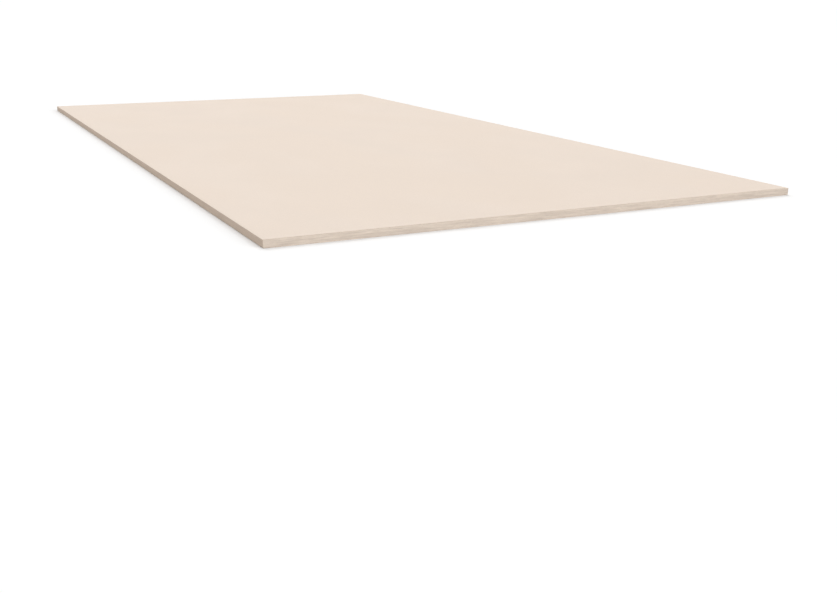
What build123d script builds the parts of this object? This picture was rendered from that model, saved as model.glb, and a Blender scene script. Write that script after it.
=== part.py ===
# A full sheet of gypsum wallboard, lying flat with its face paper up.
# The long edges are bound: the face paper folds down over them and turns in under the back.
# The back liner is laid over those turned-in flaps. The two ends are cut square through the board.
#
# Origin: the middle of the underside. +X runs along the board, +Y across it, +Z out of the face.
# All sizes are in millimetres.

import os

from build123d import *

# The board
board_length = 2438.4  # 8 ft, from one cut end to the other
board_width = 1219.2  # 4 ft, from one bound edge to the other
board_thickness = 15.875  # 5/8 in, papers and liner included

# The bound long edges
face_arris_radius = 1.4  # the fold from the face down into the edge
back_arris_radius = 1.0  # the fold from the edge in under the back
bare_flap_width = 16.0  # turned-in face paper left showing along each side of the back

# The back liner
liner_thickness = 0.35  # how far the liner stands out from the flaps under it
liner_edge_radius = 0.15  # its pressed-down rim


# The board is one section, drawn across it and run from end to end
section_plane = Plane.YZ.offset(-board_length / 2)
liner_width = board_width - 2 * bare_flap_width
folded_thickness = board_thickness - liner_thickness

with BuildPart() as drywall_sheet:
    with BuildSketch(section_plane) as section:
        # Core and folded face paper, down to the underside of the flaps
        with Locations((0, liner_thickness)):
            Rectangle(board_width, folded_thickness, align=(Align.CENTER, Align.MIN))
        face_corners = section.vertices().group_by(Axis.Y)[-1]
        fillet(face_corners, face_arris_radius)
        back_corners = section.vertices().group_by(Axis.Y)[0]
        fillet(back_corners, back_arris_radius)

        # Back liner, which the board lies on
        Rectangle(liner_width, liner_thickness, align=(Align.CENTER, Align.MIN))
        liner_rim = section.vertices().group_by(Axis.Y)[0]
        fillet(liner_rim, liner_edge_radius)
    extrude(amount=board_length)

drywall_sheet.part.label = "drywall_sheet"

os.makedirs("parts", exist_ok=True)
export_step(drywall_sheet.part, "parts/drywall_sheet.step")
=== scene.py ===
"""Dresses the drywall sheet: paper face and bound long edges, cut ends, back liner, and a plain studio."""

from math import copysign, cos, hypot, radians, sin

import bmesh
import bpy
from bpy.props import FloatProperty, FloatVectorProperty, PointerProperty
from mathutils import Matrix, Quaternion, Vector, noise


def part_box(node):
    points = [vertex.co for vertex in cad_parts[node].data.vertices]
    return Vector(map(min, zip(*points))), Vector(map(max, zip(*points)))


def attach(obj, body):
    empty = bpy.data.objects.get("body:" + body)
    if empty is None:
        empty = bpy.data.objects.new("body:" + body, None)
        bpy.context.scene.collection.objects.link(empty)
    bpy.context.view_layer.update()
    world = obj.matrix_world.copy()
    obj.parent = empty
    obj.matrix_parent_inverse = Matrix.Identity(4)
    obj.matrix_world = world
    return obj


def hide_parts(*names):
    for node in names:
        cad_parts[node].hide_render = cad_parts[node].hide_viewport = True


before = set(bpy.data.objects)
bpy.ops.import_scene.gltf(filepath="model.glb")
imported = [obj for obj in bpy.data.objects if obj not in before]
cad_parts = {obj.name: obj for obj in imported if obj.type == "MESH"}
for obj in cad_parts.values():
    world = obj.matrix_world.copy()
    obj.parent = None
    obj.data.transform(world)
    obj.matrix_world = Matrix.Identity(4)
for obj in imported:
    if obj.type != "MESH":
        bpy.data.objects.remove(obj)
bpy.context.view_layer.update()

bl_info = {
    "name": "Drywall Sheet",
    "version": (1, 0, 0),
    "blender": (4, 5, 0),
    "location": "3D View > Sidebar > Drywall",
    "description": "Builds a full sheet of paper-faced gypsum board and a plain studio for it",
    "category": "Object",
}

NODE = "drywall_sheet"
SHEET_LOW, SHEET_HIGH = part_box(NODE)
SHEET_LENGTH, SHEET_WIDTH, SHEET_THICKNESS = SHEET_HIGH - SHEET_LOW
HALF_WIDTH = SHEET_WIDTH / 2
MM = 0.001

# The board's material slots
FACE_PAPER, GYPSUM_CORE, PAPER_PLIES, BACK_LINER = range(4)

# The texture map, in texels. Its rows lie on whole ones, so that the thin plies bake alike all round an end.
MAP_SIZE = 1024
MAP_GAP = 8  # left free round every row

# Each side's rows: the axes that run along a row and up it, as seen from outside the board, how many rows
# the side is folded into, and how high a row is
MAP_ROWS = {
    "face": ("+x", "+y", 1, 450),
    "back": ("+x", "-y", 1, 230),
    "right edge": ("+x", "+z", 2, 32),
    "left edge": ("-x", "+z", 2, 32),
    "front end": ("+y", "+z", 2, 32),
    "back end": ("-y", "+z", 2, 32),
}

# The studio, in metres. A sun lamp lights alike from anywhere, so its distance is only for show.
FLOOR_REACH = 80.0
LAMP_DISTANCE = 5.0


def length_property(name, description, default):
    """A size, given in metres."""
    return FloatProperty(
        name=name, description=description, default=default, subtype="DISTANCE", unit="LENGTH", precision=5
    )


def angle_property(name, description, degrees):
    """An angle, given in degrees."""
    return FloatProperty(
        name=name, description=description, default=radians(degrees), subtype="ANGLE", unit="ROTATION"
    )


def level_property(name, description, default):
    """A plain number, such as a lamp's power."""
    return FloatProperty(name=name, description=description, default=default)


def colour_property(name, description, default):
    """A colour in linear light."""
    return FloatVectorProperty(
        name=name, description=description, default=default, subtype="COLOR", size=3, min=0.0, max=1.0
    )


class SheetSizes(bpy.types.PropertyGroup):
    """Sizes of the board's own features. Its length, width and thickness are the frame's."""

    face_arris: length_property("Face arris", "Radius of the fold from the face into a long edge", 1.4 * MM)
    back_arris: length_property("Back arris", "Radius of the fold from a long edge to the back", 1.0 * MM)
    flap_width: length_property("Flap width", "Turned-in paper left bare beside the back liner", 16.0 * MM)
    liner_thickness: length_property("Liner thickness", "How far it stands out from the flaps", 0.35 * MM)
    paper_thickness: length_property("Paper thickness", "Its cut edge, as it shows round an end", 0.45 * MM)
    core_recess: length_property("Core recess", "How far the cut core lies behind the paper", 0.3 * MM)
    core_grain: length_property("Core grain", "Height of the broken grain at a cut end", 0.3 * MM)
    core_pits: length_property("Core pits", "Depth of the air bubbles that a cut opens", 0.5 * MM)
    face_ripple: length_property("Face ripple", "Deepest dip of the face paper's slow ripple", 0.12 * MM)
    edge_ripple: length_property("Edge ripple", "Deepest dip along the bound long edges", 0.25 * MM)
    end_pitch: length_property("End pitch", "Spacing of the mesh over a cut end", 1.2 * MM)
    run_pitch: length_property("Run pitch", "Spacing of the mesh along the board", 12.0 * MM)
    face_pitch: length_property("Face pitch", "Spacing of the mesh across the face", 24.0 * MM)


class SheetFinish(bpy.types.PropertyGroup):
    """Colours of the papers and the core."""

    face: colour_property("Face paper", "Smooth cream face paper", (0.850, 0.735, 0.637))
    # The edge paper is the face paper again, made darker and warmer: painted shade on the long edges
    edge: colour_property("Edge paper", "Face paper folded over a long edge", (0.845, 0.705, 0.593))
    core: colour_property("Core", "Set gypsum at a cut end", (0.905, 0.785, 0.684))
    ply: colour_property("Paper plies", "Inner plies of the paper where it is cut", (0.72, 0.60, 0.49))
    liner: colour_property("Back liner", "Unbleached grey-brown back paper", (0.40, 0.345, 0.285))


class Studio(bpy.types.PropertyGroup):
    """Lamps, floor and camera."""

    view_place: FloatVectorProperty(
        name="Camera place",
        description="Where the camera stands",
        default=(2.99375, -1.17034, 0.43900),
        subtype="TRANSLATION",
        unit="LENGTH",
        size=3,
    )
    view_azimuth: angle_property("Azimuth", "Turn of the view: 0 looks along +Y and 90 along -X", 64.01714)
    view_elevation: angle_property("Elevation", "How far the view looks down", 15.93016)
    view_roll: angle_property("Roll", "Lean of the camera about its line of sight", 0.20379)
    lens: FloatProperty(
        name="Lens", description="Focal length, for a sensor 36 mm wide", default=46.3711, unit="CAMERA"
    )
    key_azimuth: angle_property("Key azimuth", "Where the key lamp stands, from +X towards +Y", 30.0)
    key_elevation: angle_property("Key elevation", "How high the key lamp stands", 22.0)
    key_spread: angle_property("Key spread", "Angle across the key lamp, which softens its shadow", 26.0)
    key_strength: level_property("Key strength", "Power of the key lamp", 1.05)
    top_azimuth: angle_property("Top azimuth", "Where the overhead lamp stands, from +X towards +Y", 168.0)
    top_elevation: angle_property("Top elevation", "How high the overhead lamp stands", 48.0)
    top_spread: angle_property("Top spread", "Angle across the overhead lamp", 50.0)
    top_strength: level_property("Top strength", "Power of the overhead lamp", 1.36)
    sky_strength: level_property("Sky strength", "Even light from all round", 0.52)
    floor_bounce: colour_property(
        "Floor bounce", "Share of its light that the floor sends back to the board", (0.62, 0.585, 0.54)
    )
    floor_tone: level_property("Floor tone", "How pale the camera sees the floor's own colour", 1.0)
    floor_glow: level_property("Floor glow", "Lifts the open floor to plain white for the camera", 0.045)


class Wire:
    """One output socket. Arithmetic on it adds Math nodes to its graph."""

    def __init__(self, graph, socket):
        self.graph = graph
        self.socket = socket

    def __add__(self, other):
        return self.graph.maths("ADD", self, other)

    def __sub__(self, other):
        return self.graph.maths("SUBTRACT", self, other)

    def __rsub__(self, other):
        return self.graph.maths("SUBTRACT", other, self)

    def __mul__(self, other):
        return self.graph.maths("MULTIPLY", self, other)

    __radd__ = __add__
    __rmul__ = __mul__


class Graph:
    """The node tree of a material or a world, emptied first."""

    # The sockets of a Mix node that mixes colours
    MIX_FACTOR, MIX_FIRST, MIX_SECOND, MIX_RESULT = 0, 6, 7, 2

    def __init__(self, owner):
        owner.use_nodes = True
        self.tree = owner.node_tree
        self.tree.nodes.clear()

    def node(self, kind, settings=None, inputs=None, output=0):
        """Adds a node, sets it up, fills or links its sockets, and returns one of its outputs."""
        made = self.tree.nodes.new(kind)
        for name, value in (settings or {}).items():
            setattr(made, name, value)
        for name, value in (inputs or {}).items():
            if isinstance(value, Wire):
                self.tree.links.new(value.socket, made.inputs[name])
            else:
                made.inputs[name].default_value = value
        return Wire(self, made.outputs[output]) if made.outputs else None

    def maths(self, operation, *values):
        """A Math node on wires and numbers."""
        return self.node("ShaderNodeMath", {"operation": operation}, dict(enumerate(values)))

    def place(self):
        """Where on the board, in metres."""
        return self.node("ShaderNodeTexCoord", output="Object")

    def height(self, place):
        """How far a place is above the underside of the board."""
        return self.node("ShaderNodeSeparateXYZ", inputs={"Vector": place}, output="Z")

    def across(self, place):
        """How far a place is from the line down the middle of the board."""
        y = self.node("ShaderNodeSeparateXYZ", inputs={"Vector": place}, output="Y")
        return self.maths("ABSOLUTE", y)

    def grain(self, place, size, detail=2.0, rough=0.5, drawn=None):
        """Noise between 0 and 1, with lumps about size metres across. The three shares in drawn scale the
        place first, so that the lumps are longer along an axis whose share is small."""
        if drawn:
            place = self.node("ShaderNodeVectorMath", {"operation": "MULTIPLY"}, {0: place, 1: drawn})
        inputs = {"Vector": place, "Scale": 1.0 / size, "Detail": detail, "Roughness": rough}
        return self.node("ShaderNodeTexNoise", {"noise_dimensions": "3D"}, inputs, "Fac")

    def step(self, value, start, end):
        """0 up to start, 1 from end on and smooth between. With end below start, it is 0 from start up."""
        settings = {"interpolation_type": "SMOOTHSTEP", "clamp": True}
        inputs = {"Value": value, "From Min": start, "From Max": end}
        return self.node("ShaderNodeMapRange", settings, inputs)

    def mix(self, factor, first, second):
        """A colour that goes from the first to the second."""
        first, second = as_colour(first), as_colour(second)
        inputs = {self.MIX_FACTOR: factor, self.MIX_FIRST: first, self.MIX_SECOND: second}
        return self.node("ShaderNodeMix", {"data_type": "RGBA"}, inputs, self.MIX_RESULT)

    def bump(self, height, depth, strength):
        """Normals of a relief that is depth metres deep."""
        inputs = {"Height": height, "Distance": depth, "Strength": strength}
        return self.node("ShaderNodeBump", inputs=inputs, output="Normal")

    def finish(self, kind, inputs, out="ShaderNodeOutputMaterial"):
        """The shader that the tree ends in."""
        self.node(out, inputs={"Surface": self.node(kind, inputs=inputs)})

    def dull(self, colour, roughness, normal, gloss):
        """Ends the tree in the dull surface of a paper or of the core."""
        inputs = {
            "Base Color": colour,
            "Roughness": roughness,
            "Normal": normal,
            "Specular IOR Level": gloss,
        }
        self.finish("ShaderNodeBsdfPrincipled", inputs)


def as_colour(value):
    """A colour with its alpha, or the wire that carries one."""
    return value if isinstance(value, Wire) else (*value, 1.0)


def shade(colour, by):
    """The same colour, lighter or darker by a share."""
    return tuple(min(1.0, channel * by) for channel in colour)


def grey(level):
    """The colour between black, 0, and white, 1."""
    return (level,) * 3


def new_material(name, paint, *values):
    """A material whose nodes the paint function makes."""
    made = bpy.data.materials.new(name)
    paint(Graph(made), *values)
    return made


def paper_tone(graph, place):
    """How paper is formed: machine-direction streaks and fine mottle, about 0.5 on average."""
    streaks = graph.grain(place, 18.0 * MM, drawn=(0.04, 1.0, 1.0))
    mottle = graph.grain(place, 11.0 * MM, 3.0, drawn=(0.7, 1.0, 1.0))
    return streaks * 0.35 + mottle * 0.65


def fibre_relief(graph, place):
    """Short fibres that lie mostly along the board, with a second lay across them."""
    along = graph.grain(place, 0.9 * MM, drawn=(0.22, 1.0, 1.0))
    across = graph.grain(place, 1.3 * MM, 1.0, drawn=(1.0, 0.35, 1.0))
    return along * 0.6 + across * 0.4


def face_colour(graph, place, tone, fibres, face):
    """Smooth cream paper: slow clouds, warmer patches, mottle, darker fibres and a few faint flecks."""
    clouds = graph.grain(place, 200.0 * MM, drawn=(0.6, 1.0, 1.0))
    warmth = graph.grain(place, 300.0 * MM, drawn=(0.5, 1.0, 1.0))
    flecks = graph.step(graph.grain(place, 3.5 * MM, 1.0), 0.74, 0.80)
    red, green, blue = face
    warm = red, 0.985 * green, 0.965 * blue

    body = graph.mix(graph.step(clouds, 0.3, 0.7), shade(face, 0.984), shade(face, 1.016))
    body = graph.mix(graph.step(warmth, 0.4, 0.6) * 0.6, body, warm)
    body = graph.mix(tone * 0.5, body, shade(face, 1.03))
    body = graph.mix(graph.step(fibres, 0.4, 0.7) * 0.7, body, shade(face, 0.945))
    return graph.mix(flecks * 0.2, body, shade(face, 0.72))


def edge_colour_with_shade(graph, place, fibres, edge):
    """The same paper over a long edge in painted warm shade, rubbed along the board, with pale specks and
    darker fibres.
    """
    rub = graph.grain(place, 5.0 * MM, 6.0, 0.6, drawn=(0.06, 1.0, 1.0))
    specks = graph.step(graph.grain(place, 4.0 * MM, 5.0, 0.6, drawn=(0.12, 1.0, 1.0)), 0.60, 0.70)

    body = graph.mix(graph.step(rub, 0.3, 0.7), shade(edge, 0.93), shade(edge, 1.05))
    body = graph.mix(specks * 0.6, body, shade(edge, 1.14))
    return graph.mix(graph.step(fibres, 0.4, 0.6) * 0.6, body, shade(edge, 0.88))


def paint_face(graph, face, edge):
    """Cream face paper, smooth on the face, and rubbed and in painted warm shade where it is folded over the
    long edges.
    """
    place = graph.place()
    tone = paper_tone(graph, place)
    fibres = fibre_relief(graph, place)
    on_face = face_colour(graph, place, tone, fibres, face)
    edge_with_shade = edge_colour_with_shade(graph, place, fibres, edge)
    # Over the long edges the paper takes the edge colour, which is painted warm shade
    folded_over = graph.step(graph.across(place), HALF_WIDTH - 0.7 * MM, HALF_WIDTH - 0.3 * MM)
    relief = graph.bump(fibres * 0.6 + tone * 0.4, 0.2 * MM, 0.8)
    graph.dull(graph.mix(folded_over, on_face, edge_with_shade), 0.80 + 0.10 * tone, relief, 0.3)


def paint_core(graph, core):
    """Set gypsum where the board is cut: drag lines, pale dashes, crumbs and small open bubbles, with
    painted shade in the bubbles. Right under the face paper it is paler: denser gypsum, and a painted
    highlight on the arris."""
    place = graph.place()
    drag = graph.grain(place, 2.8 * MM, 5.0, 0.6, drawn=(1.0, 0.04, 1.0))
    grains = graph.grain(place, 3.6 * MM, 5.0, 0.55, drawn=(1.0, 0.13, 1.0))
    dashes = graph.step(graph.grain(place, 3.4 * MM, 4.0, 0.55, drawn=(1.0, 0.12, 1.0)), 0.58, 0.70)
    scratches = graph.grain(place, 0.8 * MM, drawn=(1.0, 0.1, 1.0))
    crumbs = graph.grain(place, 0.9 * MM, 3.0, 0.65)
    bubbles = graph.step(graph.grain(place, 1.8 * MM, 0.5), 0.28, 0.18)
    pinholes = graph.step(graph.grain(place, 0.9 * MM, 0.5), 0.26, 0.19)
    bubble_holes_and_shade = graph.maths("MAXIMUM", bubbles, pinholes)
    dense_and_highlight = graph.step(graph.height(place), SHEET_THICKNESS - 2.6 * MM, SHEET_THICKNESS - 1.0 * MM)

    tone = drag * 0.6 + grains * 0.4
    body = graph.mix(graph.step(tone, 0.33, 0.67), shade(core, 0.84), shade(core, 1.12))
    body = graph.mix(dashes * 0.5, body, shade(core, 1.15))
    body = graph.mix(graph.step(scratches * 0.5 + crumbs * 0.5, 0.42, 0.64) * 0.6, body, shade(core, 0.90))
    # Painted highlight: the band under the face paper made paler, for denser gypsum and for light on the top
    # arris
    body = graph.mix(dense_and_highlight * 0.35, body, shade(core, 1.14))
    # Painted shade: the open bubbles are darkened where shade would fall in them
    body = graph.mix(bubble_holes_and_shade * 0.5, body, shade(core, 0.62))
    relief = graph.bump(tone * 0.6 + scratches * 0.4 + crumbs * 0.6 - bubble_holes_and_shade * 0.8, 0.4 * MM, 0.9)
    graph.dull(body, 0.88 + 0.08 * grains, relief, 0.2)


def paint_plies(graph, ply):
    """The paper's own cut edge round an end, with frayed fibres."""
    fray = graph.grain(graph.place(), 1.2 * MM, 2.0, 0.6, drawn=(1.0, 0.3, 1.0))
    body = graph.mix(graph.step(fray, 0.3, 0.7), shade(ply, 0.82), shade(ply, 1.18))
    graph.dull(body, 0.88 + 0.06 * fray, graph.bump(fray, 0.15 * MM, 0.8), 0.2)


def paint_liner(graph, liner):
    """Unbleached back paper, with dark and pale bits of other fibre in it."""
    place = graph.place()
    tone = paper_tone(graph, place)
    fibres = fibre_relief(graph, place)
    dark = graph.step(graph.grain(place, 3.0 * MM, 1.0, drawn=(0.5, 1.0, 1.0)), 0.70, 0.76)
    pale = graph.step(graph.grain(place, 2.6 * MM, 1.0, drawn=(1.0, 0.6, 1.0)), 0.27, 0.22)

    body = graph.mix(tone, shade(liner, 0.86), shade(liner, 1.14))
    body = graph.mix(graph.step(fibres, 0.4, 0.7) * 0.35, body, shade(liner, 1.25))
    body = graph.mix(dark * 0.5, body, shade(liner, 0.45))
    body = graph.mix(pale * 0.5, body, shade(liner, 1.7))
    graph.dull(body, 0.86 + 0.08 * tone, graph.bump(fibres * 0.6 + tone * 0.4, 0.15 * MM, 0.8), 0.25)


def ramp(value, start, end):
    """0 up to start, 1 from end on and straight between them."""
    return min(1.0, max(0.0, (value - start) / (end - start)))


def lumps(place, size, octaves=3):
    """Noise between about -1 and 1, with lumps size metres across."""
    return noise.fractal(place / size, 1.0, 2.0, octaves, noise_basis="PERLIN_ORIGINAL")


def ripple(place, size):
    """Slow noise between 0 and 1."""
    return ramp(lumps(place, size, 2), -0.8, 0.8)


def mirrored(half):
    """Places on both sides of 0, from the places on one side."""
    return [-place for place in reversed(half) if place > 0.0] + half


def even_places(start, end, pitch):
    """Places from start to just before end, about pitch apart."""
    count = max(1, round((end - start) / pitch))
    return [start + (end - start) * i / count for i in range(count)]


class BoardSkin:
    """The board's closed outer skin, on a lattice of stations along it, columns across it and levels through
    it. Some columns run the board's whole length, and the rest are only at the cut ends, where the mesh is
    finer."""

    # Lines of the lattice
    END_LINES = (12.0 * MM, 5.0 * MM, 1.5 * MM, 0.0)  # in from an end
    FOLD_SHARES = (1.0, 0.75, 0.54)  # round a fold, as shares of its radius
    RIM_WIDTH = 0.2 * MM  # the liner's pressed-down rim
    IN_FROM_RIM = 2.0 * MM
    OUT_FROM_LINER = 6.0 * MM

    # The slow ripple: how long it is, and how far in from the long edge and the face it has died away
    EDGE_RIPPLE_SIZE = 110.0 * MM
    FACE_RIPPLE_SIZE = 130.0 * MM
    EDGE_RIPPLE_REACH = 6.0 * MM
    FACE_RIPPLE_REACH = 3.0 * MM

    # The cut ends
    PAPER_WOBBLE = 0.04 * MM  # how uneven the paper's cut edge is
    PAPER_WOBBLE_SIZE = 12.0 * MM
    COARSE_GRAIN = 5.0 * MM
    FINE_GRAIN = 2.0 * MM
    FINE_GRAIN_DRAWN = 0.12  # the cut draws the fine grain out across the board
    PIT_SPACING = 6.5 * MM
    PIT_RADIUS = 0.28  # as a share of the spacing
    LEAST_RECESS = 0.05 * MM  # the core never comes nearer to the paper's edge
    NOISE_SHIFT = 7.0  # so that the two ends differ

    SHARP_ANGLE = radians(50.0)

    def __init__(self, sizes):
        self.sizes = sizes
        self.liner_reach = HALF_WIDTH - sizes.flap_width
        self.liner_rim = self.liner_reach - self.RIM_WIDTH
        self.stations = self.places_along()
        self.columns, self.running = self.places_across()
        self.levels = self.places_through()
        self.last = [len(places) - 1 for places in (self.stations, self.columns, self.levels)]
        self.mesh = bmesh.new()
        self.map = self.mesh.loops.layers.uv.new("OFBake")
        self.rows = self.stack_map_rows()
        self.corners = {}

    def fold_lines(self):
        """How far in from a corner of the section each line near it is, the last of them under the paper."""
        return [share * self.sizes.face_arris for share in self.FOLD_SHARES] + [self.sizes.paper_thickness]

    def places_along(self):
        """Where the stations are, closer together near the ends."""
        near_end = [SHEET_LENGTH / 2 - line for line in self.END_LINES]
        return mirrored(even_places(0.0, near_end[0], self.sizes.run_pitch) + near_end)

    def places_across(self):
        """Where the columns are, and the numbers of those that run the whole length."""
        on_liner = self.liner_rim - self.IN_FROM_RIM
        on_flap = self.liner_reach + self.OUT_FROM_LINER
        lines = even_places(0.0, on_liner, self.sizes.face_pitch)
        lines += [on_liner, self.liner_rim, self.liner_reach, on_flap]
        lines += [HALF_WIDTH - offset for offset in self.fold_lines()] + [HALF_WIDTH]
        places = []
        for start, end in zip(lines, lines[1:]):
            places += even_places(start, end, self.sizes.end_pitch)
        places, lines = mirrored(places + [HALF_WIDTH]), set(mirrored(lines))
        return places, [number for number, place in enumerate(places) if place in lines]

    def places_through(self):
        """Where the levels are, from the back up to the face."""
        low = [0.0] + self.fold_lines()[::-1]
        high = [SHEET_THICKNESS - offset for offset in self.fold_lines()] + [SHEET_THICKNESS]
        return low[:-1] + even_places(low[-1], high[0], self.sizes.end_pitch) + high

    def floor_at(self, y):
        """Height of the back where it is bare flap, which the liner holds off what the board lies on."""
        return self.sizes.liner_thickness * ramp(abs(y), self.liner_rim, self.liner_reach)

    def folded(self, y, z):
        """A place in the section, moved in where the paper folds round a long edge."""
        out_side = copysign(1.0, y)
        for arris, corner, up in (
            (self.sizes.face_arris, SHEET_THICKNESS, 1.0),
            (self.sizes.back_arris, self.floor_at(HALF_WIDTH), -1.0),
        ):
            out = 1.0 - (HALF_WIDTH - abs(y)) / arris
            rise = 1.0 - up * (corner - z) / arris
            if out > 0.0 and rise > 0.0:
                share = max(out, rise) / hypot(out, rise)
                y = out_side * (HALF_WIDTH - arris * (1.0 - out * share))
                z = corner - up * arris * (1.0 - rise * share)
        return y, z

    def rippled(self, x, y, z):
        """The same place, let in a little by the slow ripple of the face and of the long edges."""
        along_edge = Vector((x, copysign(1.0, y), 3.0 * z))
        over_face = Vector((x, y, 0.0))
        edge_dip = self.sizes.edge_ripple * ripple(along_edge, self.EDGE_RIPPLE_SIZE)
        face_dip = self.sizes.face_ripple * ripple(over_face, self.FACE_RIPPLE_SIZE)
        y -= copysign(edge_dip * ramp(abs(y), HALF_WIDTH - self.EDGE_RIPPLE_REACH, HALF_WIDTH), y)
        z -= face_dip * ramp(z, SHEET_THICKNESS - self.FACE_RIPPLE_REACH, SHEET_THICKNESS)
        return y, z

    def cut_depth(self, side, y, z, is_core):
        """How far a cut end's surface lies behind the board's full length."""
        shift = self.NOISE_SHIFT * side
        place = Vector((shift, y, z))
        wobble = self.PAPER_WOBBLE * ripple(place, self.PAPER_WOBBLE_SIZE)
        if not is_core:
            return wobble
        drawn = Vector((shift, self.FINE_GRAIN_DRAWN * y, z))
        lump = 0.6 * lumps(place, self.COARSE_GRAIN) + 0.4 * lumps(drawn, self.FINE_GRAIN)
        from_pit = noise.voronoi(place / self.PIT_SPACING)[0][0]
        pit = self.sizes.core_pits * max(0.0, 1.0 - from_pit / self.PIT_RADIUS)
        return max(self.LEAST_RECESS, self.sizes.core_recess + wobble + self.sizes.core_grain * lump + pit)

    def place_of(self, station, column, level):
        """Where a corner of the lattice is on the real board."""
        x, y, z = self.stations[station], self.columns[column], self.levels[level]
        floor = self.floor_at(y)
        z = floor + z * (1.0 - floor / SHEET_THICKNESS)
        is_core = 1 < column < self.last[1] - 1 and 1 < level < self.last[2] - 1
        if station in (0, self.last[0]):
            side = copysign(1.0, x)
            x -= side * self.cut_depth(side, y, z, is_core)
        return x, *self.rippled(x, *self.folded(y, z))

    def corner(self, key):
        """The vertex at a corner of the lattice, made when it is first asked for."""
        if key not in self.corners:
            self.corners[key] = self.mesh.verts.new(self.place_of(*key))
        return self.corners[key]

    def stack_map_rows(self):
        """How far up the map each side's rows start."""
        start, rows = MAP_GAP, {}
        for side, (_, _, folds, height) in MAP_ROWS.items():
            for fold in range(folds):
                rows[side, fold] = start
                start += height + MAP_GAP
        return rows

    def share(self, key, axis):
        """How far along an axis a corner of the lattice is, from 0 to 1."""
        number = "xyz".index(axis[1])
        place = (self.stations, self.columns, self.levels)[number][key[number]]
        size = (SHEET_LENGTH, SHEET_WIDTH, SHEET_THICKNESS)[number]
        share = place / size + (0.0 if number == 2 else 0.5)
        return share if axis[0] == "+" else 1.0 - share

    def add(self, ring, side, slot, turned):
        """One face round a ring of lattice corners, with its place on the map."""
        ring = ring[::-1] if turned else ring
        made = self.mesh.faces.new([self.corner(key) for key in ring])
        made.material_index = slot
        made.smooth = True
        along, up, folds, height = MAP_ROWS[side]
        shares = [self.share(key, along) for key in ring]
        fold = int(folds * (min(shares) + max(shares)) / 2)
        for loop, key, share in zip(made.loops, ring, shares):
            across = MAP_GAP + (folds * share - fold) * (MAP_SIZE - 2 * MAP_GAP)
            rise = self.rows[side, fold] + height * self.share(key, up)
            loop[self.map].uv = across / MAP_SIZE, rise / MAP_SIZE

    def columns_at(self, station, first, second):
        """The columns from the first to the second that this station has."""
        if station in (0, self.last[0]):
            return list(range(first, second + 1))
        return [first, second]

    def cover_face_and_back(self):
        """The face on top, and the liner and the bare flaps underneath."""
        for station in range(self.last[0]):
            for first, second in zip(self.running, self.running[1:]):
                near = self.columns_at(station, first, second)
                far = self.columns_at(station + 1, first, second)
                is_liner = abs(self.columns[first] + self.columns[second]) / 2 < self.liner_reach
                for level, side, slot in (
                    (0, "back", BACK_LINER if is_liner else FACE_PAPER),
                    (self.last[2], "face", FACE_PAPER),
                ):
                    ring = [(station, column, level) for column in near]
                    ring += [(station + 1, column, level) for column in reversed(far)]
                    self.add(ring, side, slot, side == "face")

    def cover_long_edges(self):
        """Both bound edges, from the back up to the face."""
        for station in range(self.last[0]):
            for level in range(self.last[2]):
                for column, side in ((0, "right edge"), (self.last[1], "left edge")):
                    ring = [(station, column, level), (station + 1, column, level)]
                    ring += [(station + 1, column, level + 1), (station, column, level + 1)]
                    self.add(ring, side, FACE_PAPER, side == "left edge")

    def cover_cut_ends(self):
        """Both ends: the core, and the cut edge of the papers as a ring round it."""
        for column in range(self.last[1]):
            for level in range(self.last[2]):
                is_ply = column in (0, self.last[1] - 1) or level in (0, self.last[2] - 1)
                slot = PAPER_PLIES if is_ply else GYPSUM_CORE
                for station, side in ((0, "back end"), (self.last[0], "front end")):
                    ring = [(station, column, level), (station, column, level + 1)]
                    ring += [(station, column + 1, level + 1), (station, column + 1, level)]
                    self.add(ring, side, slot, side == "front end")

    def made(self, name):
        """The finished mesh."""
        self.cover_face_and_back()
        self.cover_long_edges()
        self.cover_cut_ends()
        self.mesh.normal_update()
        made = bpy.data.meshes.new(name)
        self.mesh.to_mesh(made)
        self.mesh.free()
        made.set_sharp_from_angle(angle=self.SHARP_ANGLE)
        return made


class DRYWALL_OT_build_sheet(bpy.types.Operator):
    """Build the drywall sheet over its CAD solid"""

    bl_idname = "drywall.build_sheet"
    bl_label = "Build Sheet"

    def execute(self, context):
        finish = context.scene.drywall_finish
        mesh = BoardSkin(context.scene.drywall_sizes).made("gypsum_board")
        mesh.materials.append(new_material("face_paper", paint_face, finish.face, finish.edge))
        mesh.materials.append(new_material("gypsum_core", paint_core, finish.core))
        mesh.materials.append(new_material("paper_plies", paint_plies, finish.ply))
        mesh.materials.append(new_material("back_liner", paint_liner, finish.liner))
        board = bpy.data.objects.new("gypsum_board", mesh)
        context.scene.collection.objects.link(board)
        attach(board, "root")
        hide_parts(NODE)
        return {"FINISHED"}


def seen_directly(graph):
    """1 for what the camera sees, itself or through a mirror or glass, and 0 for the light on the board."""
    rays = graph.node("ShaderNodeLightPath").socket.node.outputs
    names = ("Is Camera Ray", "Is Glossy Ray", "Is Transmission Ray")
    camera, glossy, through = (Wire(graph, rays[name]) for name in names)
    return graph.maths("MINIMUM", camera + glossy + through, 1.0)


def paint_floor(graph, bounce, tone, glow):
    """A matt floor that lights the board as buff paper would and shows plain white beyond its shadow."""
    seen = seen_directly(graph)
    inputs = {
        "Base Color": graph.mix(seen, bounce, grey(tone)),
        "Roughness": 1.0,
        "Specular IOR Level": 0.0,
        "Emission Color": graph.mix(seen, grey(0.0), grey(glow)),
        "Emission Strength": 1.0,
    }
    graph.finish("ShaderNodeBsdfPrincipled", inputs)


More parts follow.
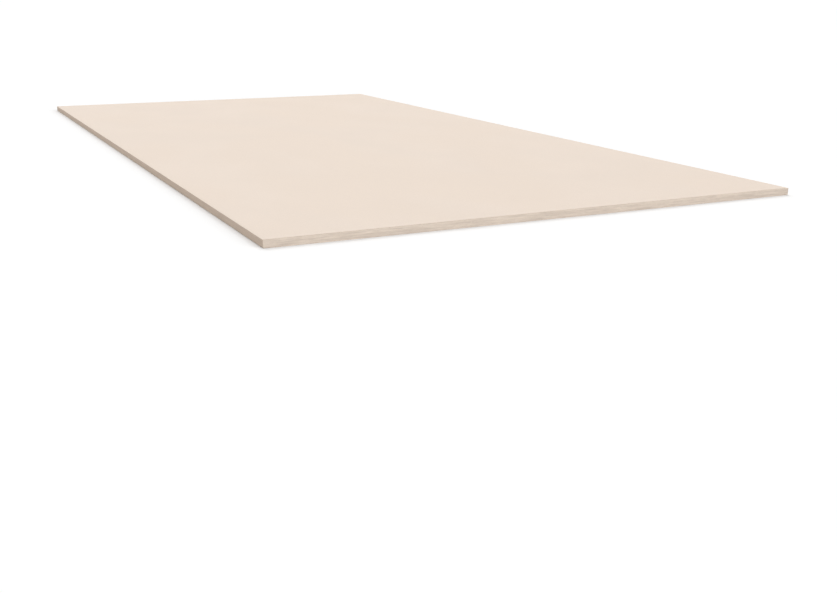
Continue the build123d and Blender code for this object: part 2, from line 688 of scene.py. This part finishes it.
def paint_sky(graph, strength):
    """Even light all round, behind which the camera sees plain white."""
    light, white = (
        graph.node("ShaderNodeBackground", inputs={"Color": as_colour(grey(1.0)), "Strength": power})
        for power in (strength, 1.0)
    )
    shaders = {0: seen_directly(graph), 1: light, 2: white}
    graph.finish("ShaderNodeMixShader", shaders, "ShaderNodeOutputWorld")


def towards(azimuth, elevation):
    """The direction to a lamp, from its turn away from +X and its height."""
    flat = cos(elevation)
    return Vector((flat * cos(azimuth), flat * sin(azimuth), sin(elevation)))


class DRYWALL_OT_build_stage(bpy.types.Operator):
    """Build the pale floor, the soft lamps and the camera"""

    bl_idname = "drywall.build_stage"
    bl_label = "Build Stage"

    def execute(self, context):
        self.scene, self.studio = context.scene, context.scene.drywall_studio
        self.build_floor()
        self.build_lamp("key")
        self.build_lamp("top")
        self.build_sky()
        self.build_camera()
        self.scene.view_settings.view_transform = "Standard"
        return {"FINISHED"}

    def place(self, name, data, location=(0.0, 0.0, 0.0), rotation=Quaternion()):
        """A new object in the scene."""
        made = bpy.data.objects.new(name, data)
        made.location = location
        made.rotation_mode = "QUATERNION"
        made.rotation_quaternion = rotation
        self.scene.collection.objects.link(made)
        return made

    def build_floor(self):
        """A wide matt floor under the board."""
        grid = bmesh.new()
        bmesh.ops.create_grid(grid, x_segments=1, y_segments=1, size=FLOOR_REACH)
        mesh = bpy.data.meshes.new("studio_floor")
        grid.to_mesh(mesh)
        grid.free()
        looks = self.studio.floor_bounce, self.studio.floor_tone, self.studio.floor_glow
        mesh.materials.append(new_material("pale_floor", paint_floor, *looks))
        self.place("studio_floor", mesh)

    def build_lamp(self, name):
        """A sun lamp, as the settings that start with its name have it."""
        azimuth, elevation, spread, strength = (
            getattr(self.studio, f"{name}_{what}") for what in ("azimuth", "elevation", "spread", "strength")
        )
        lamp = bpy.data.lights.new(f"{name}_lamp", "SUN")
        lamp.energy = strength
        lamp.angle = spread
        way = towards(azimuth, elevation)
        self.place(f"{name}_lamp", lamp, way * LAMP_DISTANCE, way.to_track_quat("Z", "Y"))

    def build_sky(self):
        """The light from all round."""
        world = bpy.data.worlds.new("studio_sky")
        paint_sky(Graph(world), self.studio.sky_strength)
        self.scene.world = world

    def build_camera(self):
        """The camera, which turns, looks down and leans as the settings have it."""
        view = bpy.data.cameras.new("camera")
        view.lens = self.studio.lens
        view.sensor_width = 36.0
        view.sensor_fit = "HORIZONTAL"
        turn, down = self.studio.view_azimuth, self.studio.view_elevation
        ahead = Vector((-sin(turn) * cos(down), cos(turn) * cos(down), -sin(down)))
        lean = Quaternion((0.0, 0.0, 1.0), self.studio.view_roll)
        rotation = ahead.to_track_quat("-Z", "Y") @ lean
        self.scene.camera = self.place("camera", view, self.studio.view_place, rotation)


class DRYWALL_PT_sidebar(bpy.types.Panel):
    """The board's operators and settings"""

    bl_label = "Drywall"
    bl_idname = "DRYWALL_PT_sidebar"
    bl_space_type = "VIEW_3D"
    bl_region_type = "UI"
    bl_category = "Drywall"

    def draw(self, context):
        self.layout.operator(DRYWALL_OT_build_stage.bl_idname)
        self.layout.operator(DRYWALL_OT_build_sheet.bl_idname)
        scene = context.scene
        for group in (scene.drywall_sizes, scene.drywall_finish, scene.drywall_studio):
            column = self.layout.column(align=True)
            for name in type(group).__annotations__:
                column.prop(group, name)


CLASSES = (
    SheetSizes,
    SheetFinish,
    Studio,
    DRYWALL_OT_build_stage,
    DRYWALL_OT_build_sheet,
    DRYWALL_PT_sidebar,
)


def register():
    for made in CLASSES:
        bpy.utils.register_class(made)
    bpy.types.Scene.drywall_sizes = PointerProperty(type=SheetSizes)
    bpy.types.Scene.drywall_finish = PointerProperty(type=SheetFinish)
    bpy.types.Scene.drywall_studio = PointerProperty(type=Studio)


def unregister():
    del bpy.types.Scene.drywall_studio
    del bpy.types.Scene.drywall_finish
    del bpy.types.Scene.drywall_sizes
    for made in reversed(CLASSES):
        bpy.utils.unregister_class(made)


def main():
    """Registers the add-on and builds the stage and the board."""
    register()
    bpy.ops.drywall.build_stage()
    bpy.ops.drywall.build_sheet()


if __name__ == "__main__":
    main()
